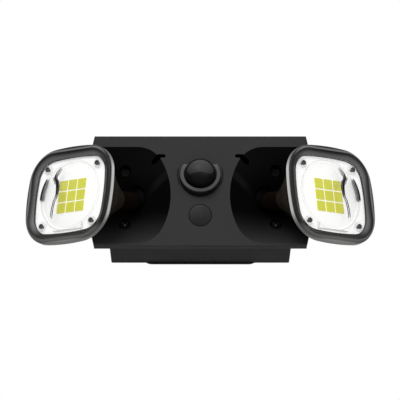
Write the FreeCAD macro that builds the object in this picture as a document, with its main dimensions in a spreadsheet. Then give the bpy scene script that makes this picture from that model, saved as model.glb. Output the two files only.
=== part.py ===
"""Motion sensor security light: a wall box with two LED flood heads on ball joints and a domed motion sensor.

Frame: +Z up, the light looks along -Y, and the wall it hangs on is the plane y = 0. The origin is the middle
of the wall face. Millimetres and degrees. The left head, its ball and its socket are modelled; the right ones
are their mirror images. Every size stands once in the sheet called sizes, and places are worked out from it.
"""
import FreeCAD, Part
import Sketcher
import math
import os
import re

SIZES = [
    # wall box
    ("housing_height", 112.7, "height of the front housing's face"),
    ("face_width", 212.4, "width of the flat front face, crease to crease"),
    ("side_bulge", 7.0, "how far each side bows out at mid height"),
    ("flange_depth", 15.0, "depth of the front housing's rim"),
    ("wall", 2.6, "moulded wall thickness"),
    ("rear_width", 181.6, "width of the rear housing"),
    ("rear_inset", 0.5, "step from the front housing's rim in to the rear housing"),
    ("rear_depth", 61.0, "depth of the rear housing"),
    ("rear_corner", 1.5, "corner radius of the rear housing"),
    ("gasket_thick", 2.0, "wall gasket thickness"),
    ("gasket_width", 122.4, "wall gasket width, to cover a 4 inch junction box"),
    ("gasket_overhang", 1.2, "how far the wall gasket stands below and above the rear housing"),
    ("gasket_border", 10.0, "width of the wall gasket's border"),
    ("gasket_corner", 12.0, "corner radius of the wall gasket"),
    ("cord_seal", 2.0, "width and depth of the seal between the housings"),
    # recess round each socket
    ("recess_z", -4.5, "height of the recess centre and socket"),
    ("recess_half", 50.0, "half height of the recess mouth"),
    ("recess_inner", 29.4, "nearest distance of a recess mouth to the middle plane"),
    ("recess_side_radius", 74.0, "radius of the mouth's inner side"),
    ("recess_corner_radius", 28.5, "radius of the mouth's corners"),
    ("recess_open", 128.0, "where the recess slope comes back up to the face plane, past the side"),
    ("funnel_side", 103.8, "reach of the recess wall from the middle plane, behind the rim"),
    ("funnel_back", 26.0, "reach of the recess wall behind the rim"),
    ("vent_width", 3.6, "width of the bent slot beside each recess"),
    ("vent_tip", 34.8, "distance of the slot's tip from the middle plane"),
    ("vent_bend", 41.0, "distance of the slot's bend from the middle plane"),
    ("vent_end", 47.0, "distance of the slot's far end from the middle plane"),
    ("vent_drop", 6.0, "drop of the slot from its bend to its end"),
    ("vent_z", 36.0, "height of the slot"),
    ("vent_reach", 24.0, "how deep behind the face the slot is cut"),
    # ball joint
    ("ball_x", 58.7, "ball centre's distance from the middle plane"),
    ("ball_depth", 30.0, "ball centre's depth behind the face"),
    ("ball_radius", 17.0, "ball radius"),
    ("socket_yaw", 31.0, "angle of the socket's axis out from straight ahead"),
    ("liner_thick", 1.4, "friction liner thickness"),
    ("liner_front", 46.0, "angle from the socket's axis at which the liner starts"),
    ("liner_back", 125.0, "angle from the socket's axis at which the liner ends"),
    ("running_gap", 0.3, "clearance between moving spherical faces"),
    ("throat_radius", 13.0, "radius of the throat that the stem swings in"),
    ("throat_lip", 1.6, "length of the throat's lip past the ball"),
    ("socket_wall", 3.0, "wall round the ball seat"),
    ("socket_flange", 28.0, "radius of the socket cup's flange"),
    ("flange_thick", 3.0, "thickness of the socket flange"),
    ("socket_bolt_circle", 25.0, "radius of the circle of the socket screws"),
    ("socket_screw", 1.5, "socket screw radius"),
    ("socket_screw_reach", 5.7, "how far a socket screw goes in past its flange seat"),
    ("neck_radius", 9.25, "stem neck radius"),
    ("waist_radius", 7.6, "stem radius where it leaves the ball"),
    ("wire_bore", 3.2, "radius of the wire way through ball and stem"),
    ("thread_radius", 5.0, "radius of the threaded end in the head"),
    ("thread_length", 10.0, "length of the threaded end"),
    ("seal_thick", 1.2, "thickness of the stem seal"),
    ("nut_across", 13.6, "lock nut across flats"),
    ("nut_thick", 4.0, "lock nut thickness"),
    ("thread_gap", 0.05, "clearance of the nut and seal round the threaded end"),
    # lamp head, in its own frame: x to the inner side, y backwards, z up
    ("head_x", 132.5, "head centre's distance from the middle plane"),
    ("head_forward", 19.0, "head front centre ahead of the face"),
    ("head_z", -8.5, "height of the head centre"),
    ("head_yaw", 37.0, "how far the head is turned outwards"),
    ("head_pitch", 5.3, "how far the head looks up"),
    ("head_roll", 2.8, "how far the head leans inwards"),
    ("head_width", 107.3, "head width"),
    ("head_height", 101.4, "head height"),
    ("head_corner", 30.7, "how far from each corner of the head its side starts to turn"),
    ("head_bow", 1.1, "how far each side of the head bows out"),
    ("bezel_depth", 6.5, "depth of the bezel ring"),
    ("bezel_border", 9.7, "width of the bezel's frame at the sides"),
    ("bezel_brow", 11.0, "width of the bezel's frame at the top and bottom"),
    ("opening_sharper", 2.0, "how much sooner than an even frame the opening's corners turn"),
    ("bezel_round", 3.0, "rounding of the bezel's outer front edge"),
    ("bezel_slope", 5.5, "how far the bezel's inner face slopes in"),
    ("lens_sink", 3.5, "depth of the lens flange behind the bezel's front edge"),
    ("lens_thick", 2.0, "lens wall"),
    ("lens_overlap", 3.0, "how far the lens flange runs under the bezel"),
    ("dome_radius", 36.8, "radius of the lens dome's rim"),
    ("dome_rise", 12.0, "height of the lens dome"),
    ("lens_screw_pitch", 63.6, "spacing of the lens screws across"),
    ("lens_screw_tall", 59.8, "spacing of the lens screws up and down"),
    ("lens_screw_head", 2.6, "lens screw head radius"),
    ("lens_screw_rise", 1.2, "lens screw head height"),
    ("lens_screw_shank", 1.3, "lens screw radius"),
    ("lens_screw_length", 8.0, "lens screw length"),
    ("seal_width", 3.0, "width of the lens seal"),
    ("lens_seal_thick", 0.7, "thickness of the lens seal"),
    ("tray_thick", 1.2, "reflector tray wall"),
    ("tray_opening", 36.0, "radius of the reflector's opening onto the LED board"),
    ("board_thick", 1.6, "LED board thickness"),
    ("board_radius", 39.0, "LED board radius"),
    ("chip_side", 10.2, "LED chip side"),
    ("chip_pitch", 11.8, "LED chip pitch"),
    ("chip_thick", 0.8, "LED chip thickness"),
    ("sink_thick", 3.0, "heat spreader plate thickness"),
    ("shell_back_x", 36.0, "how far the head's rear boss stands to the inner side"),
    ("shell_back_depth", 32.0, "depth of the head's rear boss behind the front edge"),
    ("shell_boss_radius", 11.0, "radius of the head's rear boss"),
    ("shell_wall", 2.2, "head shell wall"),
    ("shell_inset", 1.0, "step from the bezel in to the head shell"),
    ("shoulder_depth", 10.0, "depth of the shell's shoulder behind its front"),
    ("shoulder_width", 92.0, "width of the shoulder"),
    ("shoulder_height", 88.0, "height of the shoulder"),
    ("shoulder_corner", 27.0, "corner radius of the shoulder"),
    ("shoulder_x", 0.0, "how far the shoulder stands to the inner side"),
    ("hip_depth", 16.5, "depth of the shell's hip behind its front"),
    ("hip_width", 46.0, "width of the hip"),
    ("hip_height", 48.0, "height of the hip"),
    ("hip_corner", 20.0, "corner radius of the hip"),
    ("hip_x", 24.0, "how far the hip stands to the inner side"),
    ("boss_thick", 5.0, "thickness of the head's rear boss"),
    # motion sensor
    ("sensor_z", 16.4, "height of the sensor dome's centre"),
    ("sensor_out", 2.9, "how far the dome's centre stands ahead of the face"),
    ("sensor_tilt", 15.0, "tilt of the sensor collar"),
    ("dome_ball", 15.35, "radius of the sensor dome"),
    ("dome_wall", 1.2, "wall of the sensor dome"),
    ("collar_outer", 20.9, "outer radius of the collar's front ring"),
    ("collar_inner", 16.65, "inner radius of the collar"),
    ("collar_base", 22.3, "outer radius of the collar at its foot"),
    ("collar_length", 11.0, "length of the collar along its axis"),
    ("collar_chamfer", 0.8, "chamfer of the collar's front edge"),
    ("small_gap", 0.3, "clearance round parts that drop into the face"),
    ("dome_flange", 19.0, "radius of the sensor dome's flange"),
    ("dome_flange_thick", 1.5, "thickness of the sensor dome's flange"),
    ("window_z", -25.6, "height of the light sensor window"),
    ("window_radius", 11.2, "radius of the light sensor window"),
    ("window_crown", 0.8, "bulge of the light sensor window"),
    ("window_flange", 13.5, "radius of the window's flange"),
    ("sensor_board_width", 44.0, "sensor board width"),
    ("sensor_board_height", 76.0, "sensor board height"),
    ("sensor_board_depth", 10.0, "sensor board's depth behind the face wall"),
    ("pyro_radius", 4.6, "radius of the infrared sensor's can"),
    ("pyro_length", 4.4, "length of the infrared sensor's can"),
    ("cell_radius", 2.5, "radius of the light sensor"),
    ("cell_length", 2.2, "length of the light sensor"),
    ("post_radius", 3.2, "radius of a screw post"),
    # screws
    ("case_screw_inset", 15.2, "housing screws' distance from the side of the rear housing"),
    ("case_screw_span", 55.4, "vertical spacing of the housing screws"),
    ("case_head_radius", 4.5, "housing screw head radius"),
    ("case_head_rise", 3.0, "housing screw head height"),
    ("case_screw_radius", 2.1, "housing screw radius"),
    ("case_screw_length", 20.0, "housing screw length under its head"),
    ("counterbore_radius", 6.0, "counterbore radius"),
    ("counterbore_depth", 19.5, "depth of the counterbore's floor behind the face"),
    ("counterbore_floor", 4.0, "thickness under a housing screw's head"),
    ("tower_radius", 7.8, "radius of a screw tower"),
    ("box_screw_pitch", 88.9, "spacing of the two screws into a 4 inch junction box"),
    ("box_hole_radius", 2.4, "junction box screw hole radius"),
    ("wire_hole", 11.0, "radius of the supply wires' hole in the back"),
    # electronics
    ("driver_gap", 1.3, "clearance over the driver board"),
    ("driver_width", 62.0, "driver board width"),
    ("driver_height", 60.0, "driver board height"),
    ("driver_post", 16.0, "height of the driver board's posts"),
    ("coil_side", 20.0, "transformer side"),
    ("coil_height", 17.0, "transformer height"),
    ("can_radius", 6.5, "capacitor radius"),
    ("can_height", 18.0, "capacitor height"),
    ("can_pitch", 17.0, "spacing of the capacitors"),
    ("block_width", 30.0, "terminal block width"),
    ("block_height", 13.0, "terminal block height"),
    ("block_depth", 14.0, "terminal block depth"),
    ("block_opening", 3.4, "side of a terminal's wire opening"),
]

doc = FreeCAD.newDocument("security_light")
sheet = doc.addObject("Spreadsheet::Sheet", "sizes")
for line, (alias, size, meaning) in enumerate(SIZES, start=1):
    sheet.set("A%d" % line, alias)
    sheet.set("B%d" % line, str(size))
    sheet.set("C%d" % line, meaning)
    sheet.setAlias("B%d" % line, alias)
doc.recompute()

# Places worked out from the sizes, as rules that any object of the document can use.
FACE_Y = "(0 - gasket_thick - rear_depth - flange_depth)"
SEAM_Y = "(0 - gasket_thick - rear_depth)"
BALL = ("(0 - ball_x)", "(%s + ball_depth)" % FACE_Y, "recess_z")
SEAT = "(ball_radius + 2 * running_gap + liner_thick)"
THROAT_AHEAD = "(sqrt(%s * %s - throat_radius * throat_radius) + throat_lip)" % (SEAT, SEAT)
THROAT = ("(0 - ball_x - %s * sin(socket_yaw * 1deg))" % THROAT_AHEAD,
          "(%s - %s * cos(socket_yaw * 1deg))" % (BALL[1], THROAT_AHEAD), "recess_z")
SOCKET_TURN = ("(0 - socket_yaw)", "0", "0")
HEAD_TURN = ("(0 - head_yaw)", "head_roll", "(0 - head_pitch)")
HEAD_PLACE = ("(0 - head_x)", "(%s - head_forward)" % FACE_Y, "head_z")
NAMES = {alias for alias, size, meaning in SIZES}


def rule(text):
    """The expression for a rule: each size name gets the sheet in front of it."""
    return re.sub(r"[a-z_]+", lambda word: "sizes." + word.group() if word.group() in NAMES else word.group(),
                  str(text))


def number(text):
    """The present value of a rule."""
    found = sheet.evalExpression(rule(text))
    return float(getattr(found, "Value", found))


def bind(item, **rules):
    """Tie properties of an object to rules."""
    for name, text in rules.items():
        item.setExpression(name, rule(text))
    return item


def place(item, where=("0", "0", "0"), turn=("0", "0", "0")):
    """Tie an object's place to rules: a point, and turns about Z, then Y, then X."""
    text = "placement(vector(%s; %s; %s); rotation(%s; %s; %s))" % (*where, *turn)
    item.setExpression("Placement", rule(text))
    return item


def outline(sketch, points):
    """Draw a closed outline of points: (x, y), or (x, y, radius, turn) where an arc runs to the next one."""
    ends = [FreeCAD.Vector(number(p[0]), number(p[1]), 0) for p in points]
    for index, point in enumerate(points):
        start, end = ends[index], ends[(index + 1) % len(points)]
        if len(point) == 2:
            sketch.addGeometry(Part.LineSegment(start, end), False)
            continue
        radius, turn = number(point[2]), point[3]
        half = (end - start) * 0.5
        reach = math.sqrt(max(radius ** 2 - half.Length ** 2, 0.0))
        across = FreeCAD.Vector(-half.y, half.x, 0).normalize()
        centre = start + half + across * reach * turn
        crown = centre - across * radius * turn
        first, last = (start, end) if turn > 0 else (end, start)
        sketch.addGeometry(Part.Arc(first, crown, last), False)
    starts = [1 if len(p) == 2 or p[3] > 0 else 2 for p in points]
    count = len(points)
    for index, point in enumerate(points):
        following = (index + 1) % count
        sketch.addConstraint(Sketcher.Constraint("Coincident", index, 3 - starts[index],
                                                 following, starts[following]))
    for index, point in enumerate(points):
        for kind, text, here in (("DistanceX", point[0], ends[index].x),
                                 ("DistanceY", point[1], ends[index].y)):
            row = sketch.addConstraint(Sketcher.Constraint(kind, index, starts[index], here))
            sketch.setExpression("Constraints[%d]" % row, rule(text))
        if len(point) == 4:
            row = sketch.addConstraint(Sketcher.Constraint("Radius", index, number(point[2])))
            sketch.setExpression("Constraints[%d]" % row, rule(point[2]))


def circle(sketch, radius, x="0", y="0"):
    """Draw a circle tied to rules."""
    centre = FreeCAD.Vector(number(x), number(y), 0)
    row = sketch.addGeometry(Part.Circle(centre, FreeCAD.Vector(0, 0, 1), number(radius)), False)
    for kind, text, here in (("DistanceX", x, centre.x), ("DistanceY", y, centre.y)):
        tie = sketch.addConstraint(Sketcher.Constraint(kind, row, 3, here))
        sketch.setExpression("Constraints[%d]" % tie, rule(text))
    tie = sketch.addConstraint(Sketcher.Constraint("Radius", row, number(radius)))
    sketch.setExpression("Constraints[%d]" % tie, rule(radius))


def rounded(width, height, radius, x="0", y="0"):
    """The outline of a rectangle with round corners, centred on (x, y)."""
    w, h, r = "(%s) / 2" % width, "(%s) / 2" % height, "(%s)" % radius
    return [("%s - %s + %s" % (x, w, r), "%s - %s" % (y, h)),
            ("%s + %s - %s" % (x, w, r), "%s - %s" % (y, h), r, 1),
            ("%s + %s" % (x, w), "%s - %s + %s" % (y, h, r)),
            ("%s + %s" % (x, w), "%s + %s - %s" % (y, h, r), r, 1),
            ("%s + %s - %s" % (x, w, r), "%s + %s" % (y, h)),
            ("%s - %s + %s" % (x, w, r), "%s + %s" % (y, h), r, 1),
            ("%s - %s" % (x, w), "%s + %s - %s" % (y, h, r)),
            ("%s - %s" % (x, w), "%s - %s + %s" % (y, h, r), r, 1)]


def block_outline(width, height, x="0", y="0"):
    """The outline of a plain rectangle centred on (x, y)."""
    w, h = "(%s) / 2" % width, "(%s) / 2" % height
    return [("%s - %s" % (x, w), "%s - %s" % (y, h)), ("%s + %s" % (x, w), "%s - %s" % (y, h)),
            ("%s + %s" % (x, w), "%s + %s" % (y, h)), ("%s - %s" % (x, w), "%s + %s" % (y, h))]


def cushioned(width, height, corner):
    """The outline of the head: a rectangle with round corners whose four sides bow out a little."""
    w, h, c = "(%s) / 2" % width, "(%s) / 2" % height, "(%s)" % corner
    across, tall = "(%s - %s)" % (w, c), "(%s - %s)" % (h, c)
    long_arc = ["((%s * %s + head_bow * head_bow) / (2 * head_bow))" % (half, half)
                for half in (across, tall)]
    turn = "(45deg - 2 * atan(2 * head_bow / (%s + %s)))" % (across, tall)
    corner_arc = "((%s - head_bow) / (sqrt(2) * sin(%s)))" % (c, turn)
    side, top = "(%s - head_bow)" % w, "(%s - head_bow)" % h
    return [("0 - " + across, "0 - " + top, long_arc[0], 1), (across, "0 - " + top, corner_arc, 1),
            (side, "0 - " + tall, long_arc[1], 1), (side, tall, corner_arc, 1),
            (across, top, long_arc[0], 1), ("0 - " + across, top, corner_arc, 1),
            ("0 - " + side, tall, long_arc[1], 1), ("0 - " + side, "0 - " + tall, corner_arc, 1)]


def drawing(name, points, back, turn=("0", "0", "90"), x="0", z="0"):
    """A sketch that stands upright facing the front, at the depth called back."""
    sketch = doc.addObject("Sketcher::SketchObject", name)
    place(sketch, (x, back, z), turn)
    outline(sketch, points)
    return sketch


def prism(name, points, back, depth):
    """An upright outline pushed forwards from the depth called back."""
    solid = doc.addObject("Part::Extrusion", name)
    solid.Base = drawing(name + "_outline", points, back)
    solid.DirMode = "Normal"
    solid.Solid = True
    return bind(solid, LengthFwd=depth)


def rod(name, radius, length, where, turn=("0", "0", "90")):
    """A cylinder that starts at a point and runs forwards."""
    solid = bind(doc.addObject("Part::Cylinder", name), Radius=radius, Height=length)
    return place(solid, where, turn)


def cone(name, first, second, length, where, turn):
    """A cone that starts at a point and runs forwards."""
    solid = bind(doc.addObject("Part::Cone", name), Radius1=first, Radius2=second, Height=length)
    return place(solid, where, turn)


def ball(name, radius, where):
    """A ball about a point."""
    return place(bind(doc.addObject("Part::Sphere", name), Radius=radius), where)


def brick(name, width, depth, height, where):
    """A box with its middle on a point in x and z, running backwards from it in y."""
    solid = bind(doc.addObject("Part::Box", name), Length=width, Width=depth, Height=height)
    corner = ("%s - (%s) / 2" % (where[0], width), where[1], "%s - (%s) / 2" % (where[2], height))
    return place(solid, corner)


def joined(name, *pieces):
    """The union of solids."""
    solid = doc.addObject("Part::MultiFuse", name)
    solid.Shapes = list(pieces)
    return solid


def cut(name, base, *tools):
    """A solid less others."""
    solid = doc.addObject("Part::Cut", name)
    solid.Base = base
    solid.Tool = tools[0] if len(tools) == 1 else joined(name + "_tools", *tools)
    return solid


def shared(name, *pieces):
    """What solids have in common."""
    solid = doc.addObject("Part::MultiCommon", name)
    solid.Shapes = list(pieces)
    return solid


def mirrored(name, source):
    """The mirror image of a solid across the middle plane."""
    solid = doc.addObject("Part::Mirroring", name)
    solid.Source = source
    solid.Normal = FreeCAD.Vector(1, 0, 0)
    return solid


def turned(name, points, where, turn=("0", "0", "0")):
    """A body revolved about its own y axis: points are (radius, distance along y)."""
    body = doc.addObject("PartDesign::Body", name)
    sketch = body.newObject("Sketcher::SketchObject", name + "_profile")
    plane = next(p for p in body.Origin.OriginFeatures if p.Role == "XY_Plane")
    sketch.AttachmentSupport = [(plane, "")]
    sketch.MapMode = "FlatFace"
    outline(sketch, points)
    spin = body.newObject("PartDesign::Revolution", name + "_turn")
    spin.Profile = sketch
    spin.ReferenceAxis = (sketch, ["V_Axis"])
    spin.Angle = 360
    return place(body, where, turn)


def plate(name, points, back, depth, where=("0", "0", "0"), turn=("0", "0", "0"), cuts=()):
    """A padded body: an upright outline, grown forwards from back, less cuts.

    Each cut is (outline points or a circle's radius rule, start, depth, x, z); it runs forwards from start.
    """
    body = doc.addObject("PartDesign::Body", name)
    upright = next(p for p in body.Origin.OriginFeatures if p.Role == "XZ_Plane")

    def upright_sketch(tag, start):
        sketch = body.newObject("Sketcher::SketchObject", name + tag)
        sketch.AttachmentSupport = [(upright, "")]
        sketch.MapMode = "FlatFace"
        sketch.setExpression("AttachmentOffset.Base.z", rule("0 - (%s)" % start))
        return sketch

    sketch = upright_sketch("_outline", back)
    outline(sketch, points)
    pad = bind(body.newObject("PartDesign::Pad", name + "_pad"), Length=depth)
    pad.Profile = sketch
    for index, (shape, start, length, x, z) in enumerate(cuts, start=1):
        sketch = upright_sketch("_cut_%d" % index, start)
        if isinstance(shape, str):
            circle(sketch, shape, x, z)
        else:
            outline(sketch, shape)
        pocket = body.newObject("PartDesign::Pocket", name + "_pocket_%d" % index)
        pocket.Profile = sketch
        pocket.Reversed = True
        bind(pocket, Length=length)
    return place(body, where, turn)


# Shared forms ---------------------------------------------------------------------------------------------

def housing_outline(inset):
    """The front housing's outline, drawn in by inset: straight top and bottom, sides bowed out."""
    w, h = "(face_width / 2 - %s)" % inset, "(housing_height / 2 - %s)" % inset
    bow = "((%s * %s + side_bulge * side_bulge) / (2 * side_bulge))" % (h, h)
    return [("0 - " + w, "0 - " + h), (w, "0 - " + h, bow, 1), (w, h), ("0 - " + w, h, bow, 1)]


def recess_mouth(grow):
    """The left recess's outline in the face: an arc at each corner and a flatter arc between them.

    Its far end lies past the housing's side, so that the recess runs out through the side.
    """
    corner, side = "(recess_corner_radius + %s)" % grow, "(recess_side_radius + %s)" % grow
    edge, half = "(0 - recess_inner + %s)" % grow, "(recess_half + %s)" % grow
    # the corner arc's centre lies where it touches the straight top and the side arc from within
    up = "(%s - %s)" % (half, corner)
    reach = "sqrt((%s - %s) * (%s - %s) - %s * %s)" % (side, corner, side, corner, up, up)
    centre = "(%s - %s + %s)" % (edge, side, reach)
    share = "(%s / (%s - %s))" % (side, side, corner)
    touch_x = "(%s - %s + %s * %s)" % (edge, side, reach, share)
    touch_z = "(%s * %s)" % (up, share)
    outer = "(0 - recess_open - %s)" % grow
    return [(outer, "recess_z - " + half), (centre, "recess_z - " + half, corner, 1),
            (touch_x, "recess_z - " + touch_z, side, 1), (touch_x, "recess_z + " + touch_z, corner, 1),
            (centre, "recess_z + " + half), (outer, "recess_z + " + half)]


def recess_loft(name, grow):
    """The funnel from the mouth in the face to the throat of the left socket, grown outwards by grow.

    Each of the mouth's six lengths meets one arc of the throat's circle.
    """
    ring = "(throat_radius + throat_lip + %s)" % grow
    angles = (225, 270, 320, 40, 90, 135)
    throat = [("%s * cos(%ddeg)" % (ring, a), "%s * sin(%ddeg)" % (ring, a), ring, 1) for a in angles]
    loft = doc.addObject("Part::Loft", name)
    back = drawing(name + "_throat", throat, "%s + %s" % (THROAT[1], grow), ("(0 - socket_yaw)", "0", "90"),
                   THROAT[0], THROAT[2])
    loft.Sections = [drawing(name + "_mouth", recess_mouth(grow), FACE_Y), back]
    loft.Solid = True
    loft.Ruled = True
    return loft


def both_ends(text):
    """A rule and its opposite."""
    return text, "(0 - (%s))" % text


CASE_SCREWS = [(x, "(recess_z + %s)" % z)
               for x in both_ends("(rear_width / 2 - case_screw_inset)")
               for z in both_ends("case_screw_span / 2")]
BOX_SCREWS = [(x, "0") for x in both_ends("box_screw_pitch / 2")]
HEAD_SEAT_Y = "(%s + counterbore_depth)" % FACE_Y
BACK_WALL_Y = "(0 - gasket_thick - wall)"
COLLAR_TURN = ("0", "0", "(90 - sensor_tilt)")


# Front housing --------------------------------------------------------------------------------------------

def front_housing():
    rim = prism("rim_block", housing_outline("0"), SEAM_Y, "flange_depth")
    hollow = prism("rim_hollow", housing_outline("wall"), "%s + 1" % SEAM_Y, "flange_depth - wall + 1")
    shell = cut("rim_shell", rim, hollow)
    funnel = recess_loft("funnel_wall", "wall")
    reach = prism("funnel_reach", block_outline("2 * funnel_side", "housing_height - 6 * wall"),
                  "%s + funnel_back" % SEAM_Y, "funnel_back + flange_depth / 2")
    funnel = shared("funnel_kept", funnel, joined("funnel_room", prism("funnel_rim", housing_outline("0"),
                                                                       SEAM_Y, "flange_depth"), reach))
    seat_face = "(%s + throat_lip)" % THROAT_AHEAD
    boss = rod("socket_boss", SEAT + " + socket_wall", seat_face + " - throat_lip", BALL,
               ("(0 - socket_yaw)", "0", "90"))
    flange = rod("socket_flange_front", "socket_flange", "flange_thick", BALL,
                 ("(0 - socket_yaw)", "0", "90"))
    left = [funnel, boss, flange]
    right = [mirrored("right_" + piece.Name, piece) for piece in left]
    towers = [rod("tower_%d" % n, "tower_radius", "counterbore_floor + wall",
                  (x, "%s + counterbore_floor" % HEAD_SEAT_Y, z)) for n, (x, z) in enumerate(CASE_SCREWS, 1)]
    posts = [rod("sensor_post_%d" % n, "post_radius", "sensor_board_depth",
                 (x, "%s + wall + sensor_board_depth" % FACE_Y, z))
             for n, (x, z) in enumerate(SENSOR_POSTS, 1)]
    body = joined("front_block", shell, *left, *right, *towers, *posts)

    carve = recess_loft("funnel_cut", "0")
    ahead = prism("mouth_cut", recess_mouth("0"), FACE_Y, "flange_depth")
    seat = ball("ball_seat", SEAT, BALL)
    swing = cone("throat_cut", "throat_radius", "throat_radius + throat_lip",
                 THROAT_AHEAD + " + throat_lip", BALL, ("(0 - socket_yaw)", "0", "90"))
    vent = prism("vent_cut", vent_outline(), "%s + vent_reach" % FACE_Y, "vent_reach + wall")
    cuts = [carve, ahead, seat, swing, vent] + socket_screw_holes("front")
    cuts += [mirrored("right_" + piece.Name, piece) for piece in cuts]
    for n, (x, z) in enumerate(CASE_SCREWS, 1):
        cuts.append(rod("counterbore_%d" % n, "counterbore_radius", "counterbore_depth + 1",
                        (x, HEAD_SEAT_Y, z)))
        cuts.append(rod("case_hole_%d" % n, "case_screw_radius + small_gap", "counterbore_floor + wall + 2",
                        (x, "%s + counterbore_floor + 1" % HEAD_SEAT_Y, z)))
    cuts.append(rod("dome_hole", "dome_ball + small_gap", "wall + 2", ("0", "%s + wall + 1" % FACE_Y,
                                                                       "sensor_z")))
    cuts.append(rod("window_hole", "window_radius + small_gap", "wall + 2",
                    ("0", "%s + wall + 1" % FACE_Y, "window_z")))
    cuts += side_bevels()
    return cut("front_housing", body, *cuts)


def side_bevels():
    """Wedges that slope each bowed side back from its straight front crease."""
    bevels = []
    for name, sign in (("left_bevel", "0 - "), ("right_bevel", "")):
        wedge = doc.addObject("Part::Extrusion", name)
        sketch = doc.addObject("Sketcher::SketchObject", name + "_outline")
        place(sketch, ("0", FACE_Y, "0 - housing_height"))
        corner, tip = "%s(face_width / 2)" % sign, "%s(face_width / 2 + 2 * side_bulge)" % sign
        points = [(corner, "0"), (tip, "0 - side_bulge / 2"), (tip, "side_bulge")]
        outline(sketch, points if sign == "" else points[::-1])
        wedge.Base = sketch
        wedge.DirMode = "Normal"
        wedge.Solid = True
        bevels.append(bind(wedge, LengthFwd="2 * housing_height"))
    return bevels


def vent_outline():
    """The bent slot: level from its tip to the bend, then down to its far end."""
    tip, bend, end = "(0 - vent_tip)", "(0 - vent_bend)", "(0 - vent_end)"
    half = "(vent_width / 2)"
    return [(tip + " - " + half, "vent_z - " + half, half, 1), (tip, "vent_z", half, 1),
            (tip + " - " + half, "vent_z + " + half),
            (bend + " - " + half, "vent_z + " + half), (end + " - " + half, "vent_z - vent_drop + " + half),
            (end + " - " + half, "vent_z - vent_drop - " + half),
            (end + " + " + half, "vent_z - vent_drop - " + half), (bend + " + " + half, "vent_z - " + half)]


SOCKET_BOLTS = [("socket_bolt_circle * cos(%ddeg)" % a, "socket_bolt_circle * sin(%ddeg)" % a)
                for a in (90, 210, 330)]


def socket_point(side, up, back):
    """A point of the left socket's own frame: side and up across its axis, back along it from the ball."""
    return ("%s + (%s) * cos(socket_yaw * 1deg) + (%s) * sin(socket_yaw * 1deg)" % (BALL[0], side, back),
            "%s - (%s) * sin(socket_yaw * 1deg) + (%s) * cos(socket_yaw * 1deg)" % (BALL[1], side, back),
            "%s + %s" % (BALL[2], up))


def socket_screw_holes(tag):
    """The holes for the socket screws, right through both flanges."""
    return [rod("socket_hole_%s_%d" % (tag, n), "socket_screw + small_gap", "4 * flange_thick",
                socket_point(side, up, "2 * flange_thick"), ("(0 - socket_yaw)", "0", "90"))
            for n, (side, up) in enumerate(SOCKET_BOLTS, 1)]


DRIVER_Z = "(housing_height / 2 - rear_inset - wall - driver_gap - driver_height / 2)"
SENSOR_POSTS = [(x, z) for x in both_ends("(sensor_board_width / 2 - post_radius)")
                for z in both_ends("(sensor_board_height / 2 - post_radius)")]


# Rear housing and what closes it --------------------------------------------------------------------------

def rear_housing():
    depth, height = "rear_depth", "(housing_height - 2 * rear_inset)"
    block = prism("rear_block", rounded("rear_width", height, "rear_corner"), "(0 - gasket_thick)", depth)
    hollow = prism("rear_hollow", rounded("rear_width - 2 * wall", height + " - 2 * wall",
                                          "max(rear_corner - wall; 0.5)"), BACK_WALL_Y, depth)
    bosses = [rod("rear_boss_%d" % n, "tower_radius - wall / 2", "0 - gasket_thick - wall / 2 - (%s + "
                  "counterbore_floor)" % HEAD_SEAT_Y, (x, "0 - gasket_thick - wall / 2", z))
              for n, (x, z) in enumerate(CASE_SCREWS, 1)]
    posts = [rod("driver_post_%d" % n, "post_radius", "driver_post + wall / 2",
                 (x, "0 - gasket_thick - wall / 2", z)) for n, (x, z) in enumerate(DRIVER_POSTS, 1)]
    shell = joined("rear_shell", cut("rear_open", block, hollow), *bosses, *posts)
    cuts = [rod("box_hole_%d" % n, "box_hole_radius", "2 * wall", (x, "0 - gasket_thick + wall / 2", z))
            for n, (x, z) in enumerate(BOX_SCREWS, 1)]
    cuts += [rod("pilot_%d" % n, "case_screw_radius", "case_screw_length",
                 (x, "%s + case_screw_length + small_gap" % HEAD_SEAT_Y, z))
             for n, (x, z) in enumerate(CASE_SCREWS, 1)]
    cuts += [rod("tower_room_%d" % n, "tower_radius + small_gap", "counterbore_depth",
                 (x, "%s + counterbore_floor" % HEAD_SEAT_Y, z)) for n, (x, z) in enumerate(CASE_SCREWS, 1)]
    socket = rod("socket_room", "socket_flange + small_gap", "2 * (flange_thick + small_gap)",
                 socket_point("0", "0", "flange_thick + small_gap"), ("(0 - socket_yaw)", "0", "90"))
    cuts += [socket, mirrored("right_socket_room", socket)]
    cuts.append(rod("supply_hole", "wire_hole", "2 * wall", ("0", "0 - gasket_thick + wall / 2", "0")))
    room = recess_loft("funnel_room_cut", "(wall + small_gap)")
    cuts += [room, mirrored("right_funnel_room", room), seal_ring("seal_groove")]
    return cut("rear_housing", shell, *cuts)


def seal_ring(name):
    """The seal's ring, or its groove in the rear housing's front rim."""
    height = "(housing_height - 2 * rear_inset)"
    rings = [rounded("rear_width - 2 * " + inset, height + " - 2 * " + inset,
                     "max(rear_corner - %s; wall / 8)" % inset) for inset in ("(wall / 8)", "(5 * wall / 8)")]
    outer = prism(name + "_outer", rings[0], "%s + cord_seal / 2" % SEAM_Y, "cord_seal / 2")
    inner = prism(name + "_inner", rings[1], "%s + cord_seal" % SEAM_Y, "2 * cord_seal")
    return cut(name, outer, inner)


def housing_seal():
    room = recess_loft("seal_room_cut", "(wall + small_gap)")
    return cut("housing_seal", seal_ring("seal_whole"), room, mirrored("right_seal_room", room))


DRIVER_POSTS = [(x, z) for x in both_ends("(driver_width / 2 - post_radius)")
                for z in ("(%s + driver_height / 2 - post_radius)" % DRIVER_Z,
                          "(%s - driver_height / 2 + post_radius)" % DRIVER_Z)]


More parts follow.
